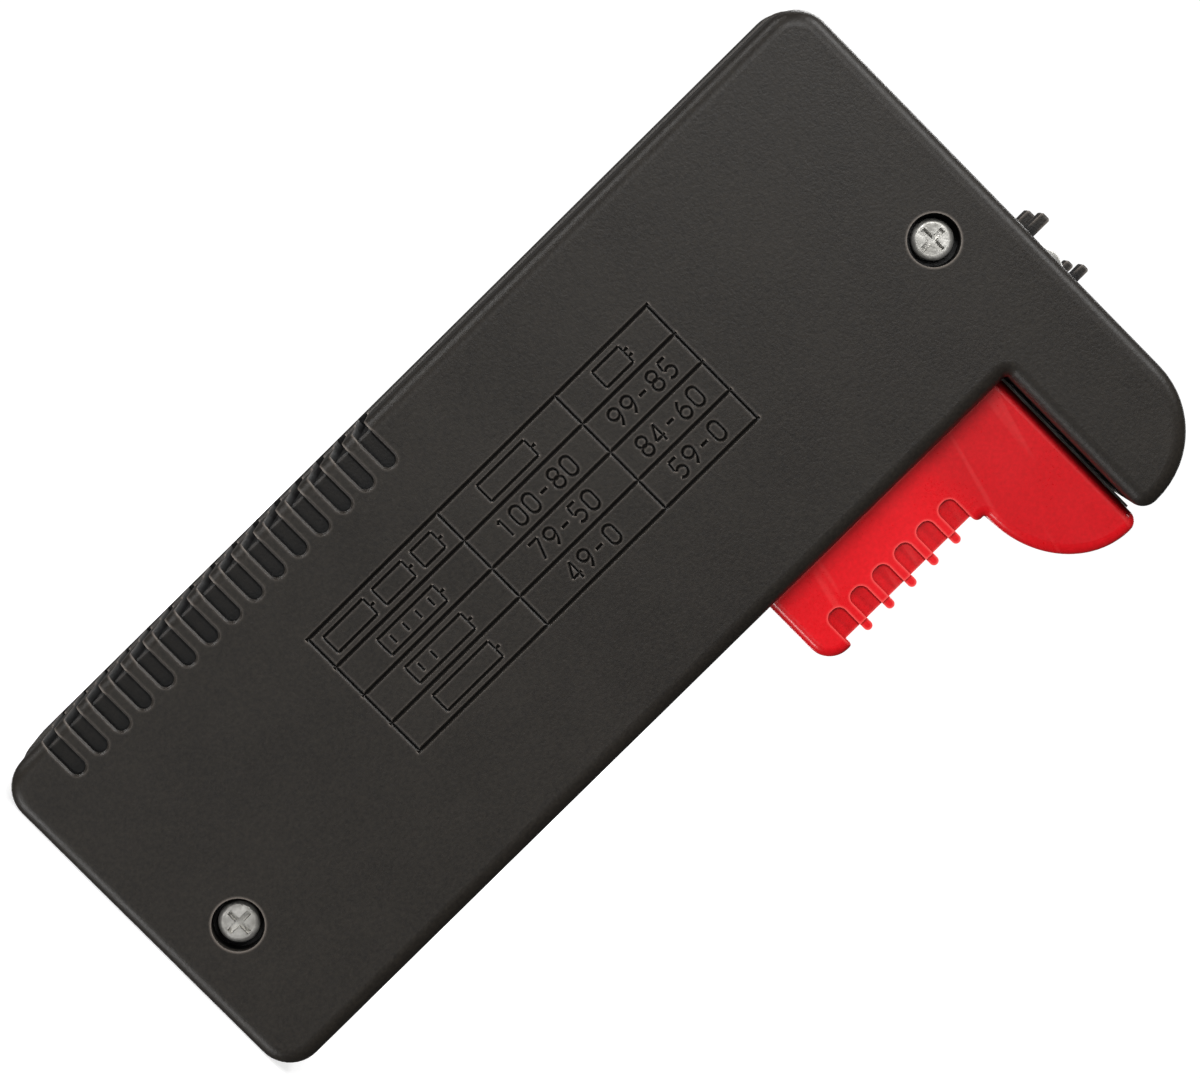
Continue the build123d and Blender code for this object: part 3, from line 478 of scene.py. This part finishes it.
def print_dial():
    """Three coloured sectors, ticks and numbers from 0 to 100 on the dial plate."""
    joint = next(j for j in frame["joints"] if j["name"] == "needle_swing")
    pivot = Vector(joint["pos_m"])
    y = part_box("dial_plate")[0].y
    inner = 15.2 * MM
    outer = 17.8 * MM
    line_near = 0.35 * MM
    line_far = 0.55 * MM
    edge = 40.0
    low_charge = -10.0
    good_charge = 8.0
    sectors = (
        ("red", -edge, low_charge, ink_red),
        ("amber", low_charge, good_charge, ink_amber),
        ("green", good_charge, edge, ink_green),
    )
    for name, start, end, finish in sectors:
        printed(f"dial_sector_{name}", arc_bars(pivot, inner, outer, start, end), y, finish)
    marks = arc_bars(pivot, outer + line_near, outer + line_far, -edge, edge)
    marks += arc_bars(pivot, inner - line_far, inner - line_near, -edge, edge)
    tick_gaps = 20
    gaps_per_number = 4
    long_tick = 1.6 * MM
    short_tick = 0.9 * MM
    half_width = 0.09 * MM
    for i in range(tick_gaps + 1):
        angle = math.radians(-edge + 2 * edge * i / tick_gaps)
        out = Vector((math.sin(angle), 0, math.cos(angle)))
        across = Vector((math.cos(angle), 0, -math.sin(angle))) * half_width
        low = pivot + out * (outer + line_far)
        high = low + out * (short_tick if i % gaps_per_number else long_tick)
        marks.append([(p.x, p.z) for p in (low - across, high - across, high + across, low + across)])
    printed("dial_ticks", marks, y, ink_dark)
    number_gaps = tick_gaps // gaps_per_number
    number_rise = 2.9 * MM
    number_size = 2.0 * MM
    last_number_size = 1.6 * MM
    for i in range(number_gaps + 1):
        angle = math.radians(-edge + 2 * edge * i / number_gaps)
        out = Vector((math.sin(angle), 0, math.cos(angle)))
        place = pivot + out * (outer + number_rise)
        place.y = y
        value = 100 * i // number_gaps
        size = number_size if i < number_gaps else last_number_size
        numeral(f"dial_number_{value}", str(value), place, size, angle)


def battery_bars(x, z, width, height, line, charge=0.0):
    """A standing battery sign: outline, terminal and a filled lower share."""
    bars = frame_bars(x, z, x + width, z + height, line)
    nub = width * 0.3
    nub_height = 0.5 * MM
    middle = x + width / 2
    bars.append(bar(middle - nub / 2, z + height, middle + nub / 2, z + height + nub_height))
    if charge:
        gap = 1.8 * line
        top = z + gap + (height - 2 * gap) * charge
        bars.append(bar(x + gap, z + gap, x + width - gap, top))
    return bars


def block_battery_bars(x, z, line):
    """A nine-volt block: a square outline with two terminals on it."""
    width = 4.6 * MM
    height = 7.0 * MM
    bars = frame_bars(x, z, x + width, z + height, line)
    half_terminal = 0.5 * MM
    terminal_height = 0.7 * MM
    for side in (1.2 * MM, 3.4 * MM):
        middle = x + side
        top = z + height + terminal_height
        bars.append(bar(middle - half_terminal, z + height, middle + half_terminal, top))
    return bars


def print_label():
    """Battery signs in falling size, and a three-colour key with charge signs."""
    low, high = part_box("front_label")
    y = low.y
    margin = 1.6 * MM
    left, right = low.x + margin, high.x - margin
    base, top = low.z + margin, high.z - margin
    line = 0.28 * MM
    middle = base + (top - base) * 0.5
    dark = frame_bars(left, base, right, top, line)
    dark.append(bar(left + line, middle - line / 2, right - line, middle + line / 2))
    cell_sizes = ((5.4 * MM, 10.2 * MM), (4.2 * MM, 8.4 * MM), (2.9 * MM, 8.4 * MM), (2.3 * MM, 7.4 * MM))
    cell_gap = 1.5 * MM
    sign_base = middle + 2.2 * MM
    x = left + 1.9 * MM
    for width, height in cell_sizes:
        dark += battery_bars(x, sign_base, width, height, line)
        x += width + cell_gap
    dark += block_battery_bars(x, sign_base, line)
    key = (("green", ink_green, 1.0), ("amber", ink_amber, 0.5), ("red", ink_red, 0.18))
    step = (right - left - 2 * line) / len(key)
    swatch_inset = 0.8 * MM
    swatch_low = base + 1.4 * MM
    swatch_high = base + 4.6 * MM
    charge_base = base + 6.0 * MM
    charge_width = 3.4 * MM
    charge_height = 6.6 * MM
    for i, (name, finish, charge) in enumerate(key):
        x0 = left + line + i * step
        swatch = bar(x0 + swatch_inset, swatch_low, x0 + step - swatch_inset, swatch_high)
        printed(f"label_key_{name}", [swatch], y, finish)
        sign_left = x0 + (step - charge_width) / 2
        dark += battery_bars(sign_left, charge_base, charge_width, charge_height, line, charge)
    printed("label_signs", dark, y, ink_dark)


print_dial()
print_label()


# ---------------------------------------------------------------- spring


def hook_loop(axis, radius, height, first_turn):
    """An almost closed loop about height, across X, that starts first_turn degrees round from its foot."""
    steps = 18
    sweep = 340
    points = []
    for i in range(steps + 1):
        a = math.radians(first_turn + sweep * i / steps)
        points.append((axis.x, axis.y + radius * math.sin(a), height - radius * math.cos(a)))
    return points


def add_spring():
    """The slider's extension spring: an open-wound coil between two loops, stretched by the slider."""
    low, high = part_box("slider_spring")
    wire = 0.175 * MM
    radius = (high.x - low.x) / 2 - wire
    axis = (low + high) / 2
    loop = 2 * radius
    bottom = low.z + wire + loop
    top = high.z - wire - loop
    turns = 26
    per_turn = 20
    points = hook_loop(axis, radius, bottom - radius, -70)
    for i in range(turns * per_turn + 1):
        a = 2 * math.pi * i / per_turn
        z = bottom + (top - bottom) * i / (turns * per_turn)
        points.append((axis.x + radius * math.sin(a), axis.y - radius * math.cos(a), z))
    points += hook_loop(axis, radius, top + radius, -90)
    curve = bpy.data.curves.new("extension_spring", "CURVE")
    curve.dimensions = "3D"
    curve.bevel_depth = wire
    curve.bevel_resolution = 2
    curve.use_fill_caps = True
    spline = curve.splines.new("POLY")
    spline.points.add(len(points) - 1)
    for point, place in zip(spline.points, points):
        point.co = (*place, 1)
    holder = add_object("spring_curve", curve)
    bpy.context.view_layer.update()
    solid = holder.evaluated_get(bpy.context.evaluated_depsgraph_get())
    mesh = bpy.data.meshes.new_from_object(solid)
    bpy.data.objects.remove(holder)
    mesh.shade_smooth()
    mesh.materials.clear()
    mesh.materials.append(spring_steel)
    spring = add_object("extension_spring", mesh)
    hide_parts("slider_spring")
    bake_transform(spring)


add_spring()


# ---------------------------------------------------------------- stage, light, camera

BACKDROP_GLOW = 1.05
FILL_GLOW = 0.07


def add_floor():
    """A white floor that glows less close to the object. It lights nothing and casts no shadow."""
    bpy.ops.mesh.primitive_plane_add(size=8, location=(0, 0, 0))
    floor = bpy.context.object
    floor.name = "floor"
    floor.visible_diffuse = False
    floor.visible_glossy = False
    floor.visible_shadow = False
    made, t = material("floor_white")
    where = t.add("ShaderNodeTexCoord").outputs["Object"]
    away = t.add("ShaderNodeVectorMath", {0: where}, operation="LENGTH")
    glow = t.span(away.outputs["Value"], low=0.08, high=0.3, start=0.74, end=BACKDROP_GLOW)
    t.surface(
        Base_Color=(0.6, 0.6, 0.6, 1),
        Roughness=0.8,
        Specular_IOR_Level=0.0,
        Emission_Color=(1, 1, 1, 1),
        Emission_Strength=glow,
    )
    floor.data.materials.append(made)


def add_world():
    """White to the camera, and dim to the object."""
    world = bpy.data.worlds.new("studio")
    bpy.context.scene.world = world
    world.use_nodes = True
    t = Tree(world.node_tree)
    path = t.add("ShaderNodeLightPath")
    seen = t.add("ShaderNodeBackground", {"Color": (1, 1, 1, 1), "Strength": BACKDROP_GLOW})
    lit = t.add("ShaderNodeBackground", {"Color": (1, 1, 1, 1), "Strength": FILL_GLOW})
    mix = t.add("ShaderNodeMixShader")
    t.tree.links.new(path.outputs["Is Camera Ray"], mix.inputs[0])
    t.tree.links.new(lit.outputs[0], mix.inputs[1])
    t.tree.links.new(seen.outputs[0], mix.inputs[2])
    out = t.add("ShaderNodeOutputWorld")
    t.tree.links.new(mix.outputs[0], out.inputs["Surface"])


def add_light(name, place, target, size, power):
    """A rectangular soft box at place that faces target."""
    data = bpy.data.lights.new(name, "AREA")
    data.shape = "RECTANGLE"
    data.size, data.size_y = size
    data.energy = power
    light = add_object(name, data)
    light.location = place
    light.rotation_mode = "QUATERNION"
    light.rotation_quaternion = (Vector(target) - Vector(place)).to_track_quat("-Z", "Y")


def add_lights():
    """Soft boxes above and below, behind and in front, one on the hook's side and a strip on the grip's."""
    centre = (cad_low + cad_high) / 2
    top = (0, 0, cad_high.z)
    bottom = (0, 0, 0)
    add_light("rear_top", (0.12, 0.42, 0.23), top, (0.2, 0.06), 1.15)
    add_light("rear_bottom", (0.08, 0.42, -0.12), bottom, (0.3, 0.08), 0.22)
    add_light("low_rim", (0.05, 0.2, -0.4), bottom, (0.3, 0.04), 1.5)
    add_light("front_top", (0.12, -0.4, 0.38), top, (0.3, 0.14), 1.5)
    add_light("front_bottom", (0.03, -0.4, -0.17), bottom, (0.3, 0.1), 0.5)
    add_light("overhead", (0.03, 0.2, 0.6), top, (0.3, 0.04), 2.4)
    add_light("grip_strip", (0.45, 0.04, 0.08), centre, (0.015, 0.3), 0.8)
    add_light("jaw_fill", (-0.2, -0.6, 0.25), centre, (0.3, 0.3), 0.8)


def add_camera():
    """A long lens almost square to the rear face, rolled so that the tester lies across the picture."""
    place = Vector((0.03959, 0.4625, 0.08279))
    target = Vector((0.00614, 0.0125, 0.05933))
    roll = math.radians(45.45)
    data = bpy.data.cameras.new("camera")
    data.sensor_width = 36
    data.lens = 139.16
    data.clip_start = 0.01
    camera = add_object("camera", data)
    forward = (target - place).normalized()
    upright = (Vector((0, 0, 1)) - forward * forward.z).normalized()
    side = forward.cross(upright)
    up = upright * math.cos(roll) - side * math.sin(roll)
    right = forward.cross(up)
    turn = Matrix((right, up, -forward)).transposed().to_4x4()
    camera.matrix_world = Matrix.Translation(place) @ turn
    bpy.context.scene.camera = camera


add_floor()
add_world()
add_lights()
add_camera()
bpy.context.scene.view_settings.view_transform = "Standard"
